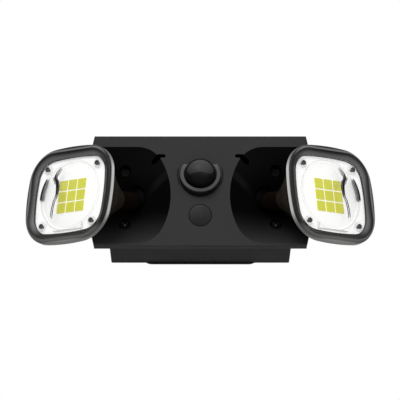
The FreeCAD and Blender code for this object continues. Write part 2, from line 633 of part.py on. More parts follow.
def wall_gasket():
    """A foam frame on the back, with room for the junction box screws."""
    height = "(housing_height - 2 * rear_inset + 2 * gasket_overhang)"
    frame = prism("gasket_block", rounded("gasket_width", height, "gasket_corner"), "0", "gasket_thick")
    opening = prism("gasket_opening", rounded("gasket_width - 2 * gasket_border",
                                              height + " - 2 * gasket_border", "gasket_corner / 2"),
                    "gasket_thick", "3 * gasket_thick")
    return cut("wall_gasket", frame, opening)


def screws(name, places, head_radius, head_rise, radius, length, seat, drive):
    """Screws that point backwards, each head with a round drive recess: one group of separate solids."""
    solids = []
    for n, (x, z) in enumerate(places, 1):
        shank = rod("%s_shank_%d" % (name, n), radius, "%s + %s / 2" % (length, head_rise),
                    (x, "%s + %s" % (seat, length), z))
        head = rod("%s_head_%d" % (name, n), head_radius, head_rise, (x, seat, z))
        socket = rod("%s_drive_%d" % (name, n), drive, head_rise, (x, "%s - %s / 2" % (seat, head_rise), z))
        solids.append(cut("%s_%d" % (name, n), joined("%s_whole_%d" % (name, n), shank, head), socket))
    group = doc.addObject("Part::Compound", name)
    group.Links = solids
    return group


# Sensor ---------------------------------------------------------------------------------------------------

def sensor_collar():
    """A horseshoe hood: a tilted, slightly tapered ring whose top dips under the face."""
    centre = ("0", "%s - sensor_out" % FACE_Y, "sensor_z")
    foot = ("0", "%s - sensor_out + collar_length * cos(sensor_tilt * 1deg)" % FACE_Y,
            "sensor_z - collar_length * sin(sensor_tilt * 1deg)")
    skirt = cone("collar_skirt", "collar_base", "collar_outer", "collar_length - collar_chamfer", foot,
                 COLLAR_TURN)
    edge_start = ("0", "%s - sensor_out + collar_chamfer * cos(sensor_tilt * 1deg)" % FACE_Y,
                  "sensor_z - collar_chamfer * sin(sensor_tilt * 1deg)")
    edge = cone("collar_edge", "collar_outer", "collar_outer - collar_chamfer", "collar_chamfer", edge_start,
                COLLAR_TURN)
    bore = rod("collar_bore", "collar_inner", "2 * collar_length", foot, COLLAR_TURN)
    ahead = prism("collar_ahead", block_outline("3 * collar_base", "3 * collar_base", "0", "sensor_z"),
                  FACE_Y, "collar_length")
    return shared("sensor_collar", cut("collar_ring", joined("collar_solid", skirt, edge), bore), ahead)


def dome_points():
    """The dome's section: flange, outer quarter arc, pole, inner quarter arc."""
    back = "(wall + sensor_out)"
    lip = "(%s + dome_flange_thick)" % back
    inner = "(dome_ball - dome_wall)"
    foot = "sqrt(dome_ball * dome_ball - %s * %s)" % (back, back)
    foot_in = "sqrt(%s * %s - %s * %s)" % (inner, inner, back, back)
    return [(foot_in, lip), ("dome_flange", lip), ("dome_flange", back), (foot, back, "dome_ball", -1),
            ("0", "0 - dome_ball"), ("0", "0 - " + inner, inner, 1), (foot_in, back)]


def window_points():
    """The light sensor window's section: a flat back with a flange, and a crowned front."""
    crown = "((window_radius * window_radius + window_crown * window_crown) / (2 * window_crown))"
    return [("0", "wall + dome_flange_thick"), ("window_flange", "wall + dome_flange_thick"),
            ("window_flange", "wall"), ("window_radius", "wall"), ("window_radius", "0", crown, -1),
            ("0", "0 - window_crown")]


# Ball joint -----------------------------------------------------------------------------------------------

def head_point(x, y):
    """The place in the light's frame of a point of the left head's frame, at its middle height."""
    turn, lean, tip = "head_yaw * 1deg", "head_roll * 1deg", "head_pitch * 1deg"
    across = "((%s) * cos(%s) - (%s) * sin(%s) * sin(%s))" % (x, lean, y, tip, lean)
    back = "((%s) * cos(%s))" % (y, tip)
    up = "(0 - (%s) * sin(%s) - (%s) * sin(%s) * cos(%s))" % (x, lean, y, tip, lean)
    return ("(%s + %s * cos(%s) + %s * sin(%s))" % (HEAD_PLACE[0], across, turn, back, turn),
            "(%s - %s * sin(%s) + %s * cos(%s))" % (HEAD_PLACE[1], across, turn, back, turn),
            "(%s + %s)" % (HEAD_PLACE[2], up))


BOSS = head_point("shell_back_x", "shell_back_depth")
STEM_X, STEM_Y, STEM_Z = ("(%s - %s)" % (there, here) for there, here in zip(BOSS, BALL))
STEM_LENGTH = "sqrt({0} * {0} + {1} * {1} + {2} * {2})".format(STEM_X, STEM_Y, STEM_Z)
STEM_TURN = ("(atan2(%s; 0 - %s) / 1deg)" % (STEM_X, STEM_Y), "0",
             "(0 - asin(%s / %s) / 1deg)" % (STEM_Z, STEM_LENGTH))
UPRIGHT_STEM_TURN = (STEM_TURN[0], "0", "(90 + %s)" % STEM_TURN[2])


def stem_points():
    """The ball and its stem from the back to the threaded end, which points forwards, along -y."""
    ball_back = "sqrt(ball_radius * ball_radius - wire_bore * wire_bore)"
    ball_front = "(0 - sqrt(ball_radius * ball_radius - waist_radius * waist_radius))"
    throat, shoulder = "(0 - %s - 2 * throat_lip)" % THROAT_AHEAD, "(seal_thick - %s)" % STEM_LENGTH
    return [("wire_bore", ball_back, "ball_radius", -1), ("waist_radius", ball_front),
            ("waist_radius", throat),
            ("neck_radius", throat + " - 2 * (neck_radius - waist_radius)"), ("neck_radius", shoulder),
            ("thread_radius", shoulder), ("thread_radius", shoulder + " - thread_length"),
            ("wire_bore", shoulder + " - thread_length")]


def washer_points(inner, outer, front, thick):
    """A flat ring's section."""
    back = "%s + %s" % (front, thick)
    return [(inner, front), (outer, front), (outer, back), (inner, back)]


def liner_points():
    """The friction liner's section: a band of a thin hollow ball, open at the front and back."""
    inner, outer = "(ball_radius + running_gap)", "(ball_radius + running_gap + liner_thick)"
    front = ("sin(liner_front * 1deg)", "(0 - cos(liner_front * 1deg))")
    back = ("sin(liner_back * 1deg)", "(0 - cos(liner_back * 1deg))")
    return [tuple("%s * %s" % (inner, part) for part in front) + (inner, 1),
            tuple("%s * %s" % (inner, part) for part in back),
            tuple("%s * %s" % (outer, part) for part in back) + (outer, -1),
            tuple("%s * %s" % (outer, part) for part in front)]


def socket_cup():
    """The rear half of the socket: a cup over the back of the ball with a flange and three screw holes."""
    outer, gate = "(%s + socket_wall)" % SEAT, "(2.5 * wire_bore)"
    back = "sqrt(%s * %s - %s * %s)" % (SEAT, SEAT, gate, gate)
    points = [(SEAT, "0"), ("socket_flange", "0"), ("socket_flange", "flange_thick"), (outer, "flange_thick"),
              (outer, "%s / 2" % back), ("(%s + socket_wall)" % gate, back + " + socket_wall"),
              (gate, back + " + socket_wall"), (gate, back, SEAT, -1)]
    cup = turned("cup_turned", points, BALL, SOCKET_TURN)
    return cut("left_socket_cup", cup, *socket_screw_holes("cup"))


def socket_screws():
    solids = []
    axis_turn = ("(0 - socket_yaw)", "0", "90")
    for n, (side, up) in enumerate(SOCKET_BOLTS, 1):
        shank = rod("cup_screw_shank_%d" % n, "socket_screw", "socket_screw_reach + socket_screw",
                    socket_point(side, up, "flange_thick + socket_screw"), axis_turn)
        head = rod("cup_screw_head_%d" % n, "2 * socket_screw - small_gap", "1.5 * socket_screw",
                   socket_point(side, up, "flange_thick + 1.5 * socket_screw"), axis_turn)
        solids.append(joined("cup_screw_%d" % n, shank, head))
    solids += [mirrored("right_" + solid.Name, solid) for solid in solids]
    group = doc.addObject("Part::Compound", "socket_screws")
    group.Links = solids
    return group


# Lamp head, in its own frame: front edge at y = 0, y backwards, x to the inner side ------------------------

OPENING_W, OPENING_H = "(head_width - 2 * bezel_border)", "(head_height - 2 * bezel_brow)"
OPENING_R = "(head_corner - bezel_border - opening_sharper)"
LENS_W, LENS_H, LENS_R = ("(%s + 2 * lens_overlap)" % OPENING_W, "(%s + 2 * lens_overlap)" % OPENING_H,
                          "(%s + lens_overlap)" % OPENING_R)
LENS_BACK = "(lens_sink + lens_thick)"
TRAY_FRONT = "(%s + lens_seal_thick)" % LENS_BACK
BOARD_FRONT = "(%s + tray_thick)" % TRAY_FRONT
SINK_FRONT = "(%s + board_thick)" % BOARD_FRONT


LENS_SCREWS = [(x, z) for x in both_ends("lens_screw_pitch / 2") for z in both_ends("lens_screw_tall / 2")]


def bezel():
    """A frame with a rounded outer edge, an inner face that slopes in to the lens and a rebate behind it."""
    body = plate("left_bezel_block", cushioned("head_width", "head_height", "head_corner"), "bezel_depth",
                 "bezel_depth", cuts=[(cushioned(OPENING_W, OPENING_H, OPENING_R), "bezel_depth + 1",
                                       "bezel_depth + 2", "0", "0"),
                                      (cushioned(LENS_W + " + 2 * small_gap", LENS_H + " + 2 * small_gap",
                                                 LENS_R + " + small_gap"), "bezel_depth + 1",
                                       "bezel_depth + 1 - lens_sink", "0", "0")])
    doc.recompute()
    front = [edge for edge in range(1, len(body.Tip.Shape.Edges) + 1)
             if abs(body.Tip.Shape.Edges[edge - 1].BoundBox.YMax) < 1e-6]
    outer, inner = [], []
    limit = number(OPENING_W) / 2 + 0.1
    for edge in front:
        box = body.Tip.Shape.Edges[edge - 1].BoundBox
        reach = max(abs(box.XMin), abs(box.XMax), abs(box.ZMin), abs(box.ZMax))
        (inner if reach < limit else outer).append("Edge%d" % edge)
    rebated = body.Tip
    slope = body.newObject("PartDesign::Chamfer", "left_bezel_slope")
    slope.Base = (rebated, inner)
    slope.ChamferType = "Two distances"
    bind(slope, Size="bezel_slope", Size2="lens_sink - small_gap")
    doc.recompute()
    edges = [n for n, edge in enumerate(slope.Shape.Edges, 1) if abs(edge.BoundBox.YMax) < 1e-6
             and abs(edge.BoundBox.YMin) < 1e-6]
    rims = [n for n in edges if max(abs(slope.Shape.Edges[n - 1].BoundBox.XMin),
                                    abs(slope.Shape.Edges[n - 1].BoundBox.XMax),
                                    abs(slope.Shape.Edges[n - 1].BoundBox.ZMin),
                                    abs(slope.Shape.Edges[n - 1].BoundBox.ZMax))
            > number("head_height / 2 - 0.1")]
    soft = body.newObject("PartDesign::Fillet", "left_bezel_soft")
    soft.Base = (slope, ["Edge%d" % n for n in rims])
    bind(soft, Radius="bezel_round")
    return body


def head_sketch(name, points, depth, x="0"):
    """An upright sketch across the left head, at a depth behind its front edge."""
    sketch = doc.addObject("Sketcher::SketchObject", name)
    whole = "placement(vector(%s; %s; %s); rotation(%s; %s; %s))" % (*HEAD_PLACE, *HEAD_TURN)
    local = "placement(vector(%s; %s; 0); rotation(0; 0; 90))" % (x, depth)
    sketch.setExpression("Placement", rule(whole + " * " + local))
    outline(sketch, points)
    return sketch


def boss_sketch(name, radius, ahead):
    """The round end of the head shell, square to the stem: eight arcs, one for each length of the front."""
    sketch = doc.addObject("Sketcher::SketchObject", name)
    whole = "placement(vector(%s; %s; %s); rotation(%s; %s; %s))" % (*BOSS, *UPRIGHT_STEM_TURN)
    moved_on = " * placement(vector(0; 0; %s); rotation(0; 0; 0))" % ahead
    sketch.setExpression("Placement", rule(whole + moved_on))
    angles = (-115, -65, -25, 25, 65, 115, 155, 205)
    outline(sketch, [("%s * cos(%ddeg)" % (radius, a), "%s * sin(%ddeg)" % (radius, a), radius, 1)
                     for a in angles])
    return sketch


def head_form(name, inset, ahead):
    """The head's rear form: a rounded square that draws in, by a shoulder and a hip, to the round boss."""
    front = ("_front", "0", "head_width - 2 * shell_inset", "head_height - 2 * shell_inset",
             "head_corner - shell_inset", "0")
    shoulder = ("_shoulder", "shoulder_depth", "shoulder_width", "shoulder_height", "shoulder_corner",
                "shoulder_x")
    hip = ("_hip", "hip_depth", "hip_width", "hip_height", "hip_corner", "hip_x")
    sections = []
    for (tag, depth, width, height, corner, shift), form in zip((front, shoulder, hip),
                                                                (cushioned, cushioned, rounded)):
        points = form("%s - 2 * %s" % (width, inset), "%s - 2 * %s" % (height, inset),
                      "%s - %s" % (corner, inset))
        back = "bezel_depth + %s - %s * %s / hip_depth" % (depth, inset, depth)
        sections.append(head_sketch(name + tag, points, back, shift))
    sections.append(boss_sketch(name + "_back", "(shell_boss_radius - %s)" % inset, ahead))
    loft = doc.addObject("Part::Loft", name)
    loft.Sections = sections
    loft.Solid = True
    loft.Ruled = True
    return loft


def head_shell():
    whole = head_form("head_form", "0", "0")
    hollow = head_form("head_hollow", "shell_wall", "boss_thick")
    hole = rod("thread_hole", "thread_radius + small_gap", "3 * boss_thick",
               along_stem(STEM_LENGTH + " - boss_thick"), UPRIGHT_STEM_TURN)
    return cut("left_head_shell", whole, hollow, hole)


def along_stem(distance):
    """A point on the left stem's axis, a distance out from the ball centre."""
    return tuple("(%s + (%s) * %s / %s)" % (here, distance, part, STEM_LENGTH)
                 for here, part in zip(BALL, (STEM_X, STEM_Y, STEM_Z)))


def lens_dome_points():
    """The dome's section: a shallow cap with a wall, standing on the lens flange."""
    cap = "((dome_radius * dome_radius + dome_rise * dome_rise) / (2 * dome_rise))"
    inner = "(%s - lens_thick)" % cap
    middle = "(%s - dome_rise)" % cap
    foot = "sqrt(%s * %s - %s * %s)" % (inner, inner, middle, middle)
    return [("0", "lens_sink - dome_rise"), ("0", "lens_sink - dome_rise + lens_thick", inner, 1),
            (foot, "lens_sink"), (foot, LENS_BACK), ("dome_radius", LENS_BACK),
            ("dome_radius", "lens_sink", cap, -1)]


def lens():
    """A clear plate with a shallow dome and four screw holes, all in one moulding."""
    cuts = [("dome_radius - lens_thick / 2", LENS_BACK + " + 1", "2 * lens_thick + 1", "0", "0")]
    cuts += lens_screw_holes(LENS_BACK + " + 1", "2 * lens_thick + 2")
    flange = plate("lens_flange", cushioned(LENS_W, LENS_H, LENS_R), LENS_BACK, "lens_thick", cuts=cuts)
    dome = turned("lens_dome", lens_dome_points(), ("0", "0", "0"))
    return joined("left_lens", flange, dome)


def lens_seal():
    inner = [("%s - 2 * seal_width" % LENS_W), ("%s - 2 * seal_width" % LENS_H), ("%s - seal_width" % LENS_R)]
    return plate("left_lens_seal", cushioned(LENS_W, LENS_H, LENS_R), TRAY_FRONT, "lens_seal_thick",
                 cuts=[(cushioned(*inner), TRAY_FRONT + " + 1", "lens_seal_thick + 2", "0", "0")])


def lens_screw_holes(start, depth):
    return [("lens_screw_shank + small_gap", start, depth, x, z) for x, z in LENS_SCREWS]


def reflector():
    """A white plate behind the lens, open over the LED chips."""
    return plate("left_reflector", cushioned(LENS_W, LENS_H, LENS_R), BOARD_FRONT, "tray_thick",
                 cuts=[("tray_opening", BOARD_FRONT + " + 1", "tray_thick + 2", "0", "0")]
                 + lens_screw_holes(BOARD_FRONT + " + 1", "tray_thick + 2"))


def led_board():
    return turned("left_led_board", washer_points("wire_bore / 2", "board_radius", BOARD_FRONT,
                                                  "%s - %s" % (SINK_FRONT, BOARD_FRONT)), ("0", "0", "0"))


def led_chips():
    """Nine square chips on the board: one group of separate solids."""
    steps = ("0 - chip_pitch", "0", "chip_pitch")
    solids = []
    for column, x in enumerate(steps, 1):
        for row, z in enumerate(steps, 1):
            solids.append(brick("chip_%d_%d" % (column, row), "chip_side", "chip_thick", "chip_side",
                                (x, BOARD_FRONT + " - chip_thick", z)))
    group = doc.addObject("Part::Compound", "left_led_chips")
    group.Links = solids
    return group


def heat_spreader():
    """The metal plate that carries the LED board, lens and reflector, clamped behind the bezel."""
    return plate("left_heat_spreader", cushioned(OPENING_W, OPENING_H, OPENING_R),
                 SINK_FRONT + " + sink_thick", "sink_thick",
                 cuts=[("lens_screw_shank", SINK_FRONT + " + sink_thick + 1", "sink_thick + 2", x, z)
                       for x, z in LENS_SCREWS])


def lock_nut():
    """A hexagon nut on the stem's threaded end, inside the head."""
    radius = "(nut_across / sqrt(3))"
    corners = [("%s * cos(%ddeg)" % (radius, a), "%s * sin(%ddeg)" % (radius, a)) for a in range(0, 360, 60)]
    blank = doc.addObject("Part::Extrusion", "nut_blank")
    sketch = doc.addObject("Sketcher::SketchObject", "nut_outline")
    outline(sketch, corners)
    place(sketch, along_stem(STEM_LENGTH + " + boss_thick"), UPRIGHT_STEM_TURN)
    blank.Base = sketch
    blank.DirMode = "Normal"
    blank.Solid = True
    bind(blank, LengthFwd="nut_thick")
    hole = rod("nut_hole", "thread_radius + thread_gap", "3 * nut_thick", along_stem(STEM_LENGTH),
               UPRIGHT_STEM_TURN)
    return cut("left_lock_nut", blank, hole)


# Build ----------------------------------------------------------------------------------------------------

ROOT = [front_housing(), rear_housing(), housing_seal(), wall_gasket(), sensor_collar()]
ROOT.append(screws("housing_screws", CASE_SCREWS, "case_head_radius", "case_head_rise", "case_screw_radius",
                   "case_screw_length", HEAD_SEAT_Y, "case_head_radius / 2"))
ROOT.append(turned("sensor_dome", dome_points(), ("0", "%s - sensor_out" % FACE_Y, "sensor_z")))
ROOT.append(turned("light_sensor_window", window_points(), ("0", FACE_Y, "window_z")))

# the sensor board hangs on the four posts behind the face; both sensors stand on its front
BOARD_Y = "(%s + wall + sensor_board_depth)" % FACE_Y
ROOT.append(plate("sensor_board", rounded("sensor_board_width", "sensor_board_height", "post_radius"),
                  BOARD_Y + " + board_thick", "board_thick"))
ROOT.append(rod("infrared_sensor", "pyro_radius", "pyro_length", ("0", BOARD_Y, "sensor_z")))
ROOT.append(rod("light_sensor", "cell_radius", "cell_length", ("0", BOARD_Y, "window_z")))

# the driver stands on its posts on the back wall, with its parts on its front
DRIVER_Y = "(%s - driver_post)" % BACK_WALL_Y
DRIVER_FRONT = "(%s - board_thick)" % DRIVER_Y
ROOT.append(plate("driver_board", rounded("driver_width", "driver_height", "post_radius", "0", DRIVER_Z),
                  DRIVER_Y, "board_thick"))
ROOT.append(plate("driver_transformer", rounded("coil_side", "coil_side", "2", "0 - driver_width / 5",
                                                DRIVER_Z), DRIVER_FRONT, "coil_height"))
CANS = [rod("can_%d" % n, "can_radius", "can_height", ("driver_width / 4", DRIVER_FRONT, z))
        for n, z in enumerate((DRIVER_Z + " + can_pitch / 2", DRIVER_Z + " - can_pitch / 2"), 1)]
PAIR = doc.addObject("Part::Compound", "driver_capacitors")
PAIR.Links = CANS
ROOT.append(PAIR)


def terminal_block():
    """Three screw terminals in a row on the back wall, open at the bottom for the supply wires."""
    middle = "(%s - driver_height / 2 - block_height / 2 - 4 * wall)" % DRIVER_Z
    body = brick("block_body", "block_width", "block_depth", "block_height",
                 ("0", "%s - block_depth" % BACK_WALL_Y, middle))
    ways = [brick("block_way_%d" % n, "block_opening", "block_opening", "block_height",
                  (x, "%s - block_depth / 2 - block_opening / 2" % BACK_WALL_Y,
                   middle + " - block_height / 3"))
            for n, x in enumerate(("0 - block_width / 3", "0", "block_width / 3"), 1)]
    return cut("terminal_block", body, *ways)


ROOT.append(terminal_block())
ROOT.append(socket_screws())

LEFT = [socket_cup(), turned("left_ball_liner", liner_points(), BALL, (STEM_TURN[0], "0", "0")),
        turned("left_ball_stem", stem_points(), BALL, STEM_TURN), head_shell(), lock_nut(),
        turned("left_stem_seal",
               washer_points("thread_radius + thread_gap", "neck_radius", "0", "seal_thick"),
               BOSS, STEM_TURN)]
for piece in (bezel(), lens(), lens_seal(), reflector(), led_board(), led_chips(), heat_spreader()):
    LEFT.append(place(piece, HEAD_PLACE, HEAD_TURN))

LEFT.append(place(screws("left_lens_screws", LENS_SCREWS, "lens_screw_head", "lens_screw_rise",
                         "lens_screw_shank", "lens_screw_length", "lens_sink", "lens_screw_head / 2"),
                  HEAD_PLACE, HEAD_TURN))
RIGHT = [mirrored(piece.Name.replace("left_", "right_").replace("_block", ""), piece) for piece in LEFT]
for piece in LEFT:
    piece.Label = piece.Name.replace("_block", "")

doc.recompute()
for item in doc.Objects:
    if "Invalid" in item.State or "Error" in item.State:
        raise RuntimeError("%s failed to build: %s" % (item.Name, item.State))
os.makedirs("parts", exist_ok=True)
for piece in ROOT + LEFT + RIGHT:
    if piece.Shape.isNull() or not piece.Shape.isValid():
        raise RuntimeError("%s has no valid shape" % piece.Label)
    piece.Shape.exportStep(os.path.join("parts", piece.Label + ".step"))
print("%d sub-parts written" % len(ROOT + LEFT + RIGHT))
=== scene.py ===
"""Looks of a wall-mounted security light: two square flood heads on ball joints beside a domed motion sensor.

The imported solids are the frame, in metres: +Z up, the light looks along -Y, the wall is the plane y = 0.
Every finish reads Object coordinates, so a pattern stays on its piece when a head turns.
All lengths are in metres. A span is (low, high), and a band is (middle, half width, soft edge).
"""
import math
from functools import partial, reduce

import bpy
import numpy as np
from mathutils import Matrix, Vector

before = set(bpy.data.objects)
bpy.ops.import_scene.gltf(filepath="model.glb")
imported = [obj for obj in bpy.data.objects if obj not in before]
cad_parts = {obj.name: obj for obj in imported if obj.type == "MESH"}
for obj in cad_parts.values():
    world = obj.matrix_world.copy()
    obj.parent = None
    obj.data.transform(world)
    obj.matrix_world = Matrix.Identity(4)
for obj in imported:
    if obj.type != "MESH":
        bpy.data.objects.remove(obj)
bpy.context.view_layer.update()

FACE_Y = -0.078        # the housing's flat front face
SEAM_Y = -0.0722       # the mould seam round the front housing's rim
RECESS_Z = -0.0045     # height of the sockets' centre
SENSOR_Z = 0.0164      # height of the sensor dome's centre
SENSOR_OUT = 0.0029    # how far the sensor dome's centre stands ahead of the face
HOOD_TILT = math.radians(15.0)         # how far the hood's axis tips up, going forwards
VIEW_BELOW = math.radians(15.0)        # how far below the light's level the camera stands
DOME_PARTING = 0.0019  # height of the line between the dome's cap and its lens, over the dome's centre
WINDOW_Z = -0.0256     # height of the light sensor's window
BALL = (0.0587, -0.048, -0.0045)       # the right ball's centre; the left one mirrors it
CASE_SCREW_X, CASE_SCREW_Z = 0.0756, 0.0277          # the housing screws' places from the middle
HEAD_CENTRE = (-0.1325, -0.097, -0.0085)             # the left head's front, at its middle
HEAD_YAW, HEAD_ROLL, HEAD_PITCH = 37.0, 2.8, 5.3     # degrees
HEAD_HALF_WIDTH, HEAD_HALF_HEIGHT, HEAD_CORNER = 0.05365, 0.0507, 0.0307
LENS_SCREW_ACROSS, LENS_SCREW_UP = 0.0318, 0.0299    # the lens screws' places from a head's middle

SHADER = "Principled BSDF"
MIX_SHARE, MIX_FIRST, MIX_SECOND, MIX_RESULT = 0, 6, 7, 2    # a Mix node's colour sockets


# Shader parts ---------------------------------------------------------------------------------------------

def rgb(red, green, blue):
    """A colour as the sockets take it."""
    return red, green, blue, 1.0


def grey(level):
    """A colour whose channels are equal."""
    return rgb(level, level, level)


def new_group(name, inputs, outputs):
    """An empty shader node group with named inputs (name, kind, value) and outputs (name, kind)."""
    group = bpy.data.node_groups.new(name, "ShaderNodeTree")
    for label, kind, value in inputs:
        socket = group.interface.new_socket(name=label, in_out="INPUT", socket_type="NodeSocket" + kind)
        socket.default_value = value
    for label, kind in outputs:
        group.interface.new_socket(name=label, in_out="OUTPUT", socket_type="NodeSocket" + kind)
    return group, group.nodes.new("NodeGroupInput"), group.nodes.new("NodeGroupOutput")


def add(tree, kind, **values):
    """A node with its settings: capitalised names are input sockets, the others are properties."""
    node = tree.nodes.new(kind)
    for name, value in values.items():
        if name[0].isupper():
            node.inputs[name.replace("_", " ")].default_value = value
        else:
            setattr(node, name, value)
    return node


def feed(tree, socket, value):
    """Links an output to an input socket, or sets the socket to a value."""
    if isinstance(value, bpy.types.NodeSocket):
        tree.links.new(value, socket)
    else:
        socket.default_value = value


def maths(tree, operation, *values):
    """A Math node on links or numbers; returns its output."""
    node = add(tree, "ShaderNodeMath", operation=operation)
    for socket, value in zip(node.inputs, values):
        feed(tree, socket, value)
    return node.outputs[0]


def minus(tree, first, second):
    """The first value less the second."""
    return maths(tree, "SUBTRACT", first, second)


def magnitude(tree, value):
    """A value without its sign."""
    return maths(tree, "ABSOLUTE", value)


def times(tree, *values):
    """The product of two or more values."""
    return reduce(partial(maths, tree, "MULTIPLY"), values)


def largest(tree, *values):
    """The largest of two or more values."""
    return reduce(partial(maths, tree, "MAXIMUM"), values)


def distance(tree, first, second):
    """The length of the line whose two sides are given."""
    square = times(tree, second, second)
    return maths(tree, "SQRT", maths(tree, "MULTIPLY_ADD", first, first, square))


def height_over(tree, ahead, high, tilt):
    """A place's height square to an axis that tips up by an angle."""
    return maths(tree, "MULTIPLY_ADD", ahead, -math.sin(tilt), times(tree, high, math.cos(tilt)))


def ramp(tree, value, span, ends, smooth=True):
    """Carries a value from a span to another, and holds it at the ends."""
    node = add(tree, "ShaderNodeMapRange", interpolation_type="SMOOTHSTEP" if smooth else "LINEAR",
               clamp=True)
    feed(tree, node.inputs["Value"], value)
    for label, number in zip(("From Min", "From Max", "To Min", "To Max"), (*span, *ends)):
        feed(tree, node.inputs[label], number)
    return node.outputs["Result"]


def rise(tree, value, span, smooth=True):
    """Nought below a span and one above it."""
    return ramp(tree, value, span, (0.0, 1.0), smooth)


def fall(tree, value, span, smooth=True):
    """One below a span and nought above it."""
    return ramp(tree, value, span, (1.0, 0.0), smooth)


def mask(tree, value, band):
    """One inside a band, with soft edges, and nought outside."""
    middle, half, soft = band
    return fall(tree, magnitude(tree, minus(tree, value, middle)), (half, maths(tree, "ADD", half, soft)))


def blend_colour(tree, share, first, second):
    """Mixes two colours by a share between 0 and 1."""
    node = add(tree, "ShaderNodeMix", data_type="RGBA")
    for index, value in ((MIX_SHARE, share), (MIX_FIRST, first), (MIX_SECOND, second)):
        feed(tree, node.inputs[index], value)
    return node.outputs[MIX_RESULT]


def position(tree):
    """The three Object coordinates, as separate outputs."""
    coords = add(tree, "ShaderNodeTexCoord")
    split = add(tree, "ShaderNodeSeparateXYZ")
    tree.links.new(coords.outputs["Object"], split.inputs["Vector"])
    return split.outputs["X"], split.outputs["Y"], split.outputs["Z"]


# Node groups ----------------------------------------------------------------------------------------------

def grain_group():
    """Moulded plastic: a fine spark-eroded grain in height, faint cloudiness in colour and in roughness."""
    rough_swing = 0.12
    group, start, end = new_group(
        "moulded_grain", [("Colour", "Color", grey(0.05)), ("Roughness", "Float", 0.5),
                          ("Grain Size", "Float", 0.0008), ("Cloud", "Float", 0.1)],
        [("Colour", "Color"), ("Roughness", "Float"), ("Height", "Float")])
    coords = add(group, "ShaderNodeTexCoord")
    fine = add(group, "ShaderNodeTexNoise", Detail=2.0, Roughness=0.6)
    group.links.new(coords.outputs["Object"], fine.inputs["Vector"])
    group.links.new(maths(group, "DIVIDE", 1.0, start.outputs["Grain Size"]), fine.inputs["Scale"])
    cloud = add(group, "ShaderNodeTexNoise", Scale=28.0, Detail=3.0, Roughness=0.5)
    group.links.new(coords.outputs["Object"], cloud.inputs["Vector"])
    shift = minus(group, cloud.outputs["Fac"], 0.5)
    level = maths(group, "MULTIPLY_ADD", shift, start.outputs["Cloud"], 1.0)
    tinted = add(group, "ShaderNodeMix", data_type="RGBA", blend_type="MULTIPLY")
    for index, value in ((MIX_SHARE, 1.0), (MIX_FIRST, start.outputs["Colour"]), (MIX_SECOND, level)):
        feed(group, tinted.inputs[index], value)
    group.links.new(tinted.outputs[MIX_RESULT], end.inputs["Colour"])
    rough = maths(group, "MULTIPLY_ADD", shift, rough_swing, start.outputs["Roughness"])
    group.links.new(rough, end.inputs["Roughness"])
    group.links.new(fine.outputs["Fac"], end.inputs["Height"])
    return group


def head_axes(side):
    """A head's centre and its axes at rest: across to the inner side, back and up, for side -1 or +1."""
    turn, lean, tip = (math.radians(angle) for angle in (HEAD_YAW, HEAD_ROLL, HEAD_PITCH))
    across = (math.cos(lean) * math.cos(turn), -math.cos(lean) * math.sin(turn), -math.sin(lean))
    back = (math.cos(tip) * math.sin(turn) - math.sin(lean) * math.sin(tip) * math.cos(turn),
            math.cos(tip) * math.cos(turn) + math.sin(lean) * math.sin(tip) * math.sin(turn),
            -math.sin(tip) * math.cos(lean))
    up = np.cross(across, back)
    mirror = np.array([-side, 1.0, 1.0])
    return np.array(HEAD_CENTRE) * mirror, [np.array(axis) * mirror for axis in (across, back, up)]


def head_group(name, side):
    """Object coordinates turned into a head's own: Across, Back from its front edge, and Up, in metres."""
    group, _, end = new_group(name, [], [("Across", "Float"), ("Back", "Float"), ("Up", "Float")])
    centre, axes = head_axes(side)
    coords = add(group, "ShaderNodeTexCoord")
    offset = add(group, "ShaderNodeVectorMath", operation="SUBTRACT")
    group.links.new(coords.outputs["Object"], offset.inputs[0])
    offset.inputs[1].default_value = centre
    for label, axis in zip(("Across", "Back", "Up"), axes):
        along = add(group, "ShaderNodeVectorMath", operation="DOT_PRODUCT")
        group.links.new(offset.outputs["Vector"], along.inputs[0])
        along.inputs[1].default_value = axis
        group.links.new(along.outputs["Value"], end.inputs[label])
    return group


GRAIN = grain_group()
HEAD_FRAMES = {"left": head_group("left_head_frame", -1), "right": head_group("right_head_frame", 1)}


# Finishes -------------------------------------------------------------------------------------------------

def finish(name, colour, roughness, grain=0.0008, cloud=0.1, relief=0.05, **sockets):
    """A moulded or painted finish; returns the material, its tree and the grain node."""
    material = bpy.data.materials.new(name)
    material.use_nodes = True
    tree = material.node_tree
    shader = tree.nodes[SHADER]
    for label, value in sockets.items():
        shader.inputs[label.replace("_", " ")].default_value = value
    texture = add(tree, "ShaderNodeGroup", node_tree=GRAIN, Colour=colour, Roughness=roughness,
                  Grain_Size=grain, Cloud=cloud)
    bump = add(tree, "ShaderNodeBump", Strength=relief, Distance=0.0003)
    tree.links.new(texture.outputs["Height"], bump.inputs["Height"])
    tree.links.new(texture.outputs["Colour"], shader.inputs["Base Color"])
    tree.links.new(texture.outputs["Roughness"], shader.inputs["Roughness"])
    tree.links.new(bump.outputs["Normal"], shader.inputs["Normal"])
    return material, tree, texture


def plain(name, colour, roughness, **more):
    """A finish with nothing but its grain."""
    return finish(name, colour, roughness, **more)[0]


def glowing(name, colour, roughness, strength, **more):
    """A pale finish that also gives off a little of its own colour: painted light, as when the lamp is lit.
    """
    material, tree, texture = finish(name, colour, roughness, **more)
    shader = tree.nodes[SHADER]
    tree.links.new(texture.outputs["Colour"], shader.inputs["Emission Color"])
    shader.inputs["Emission Strength"].default_value = strength
    return material


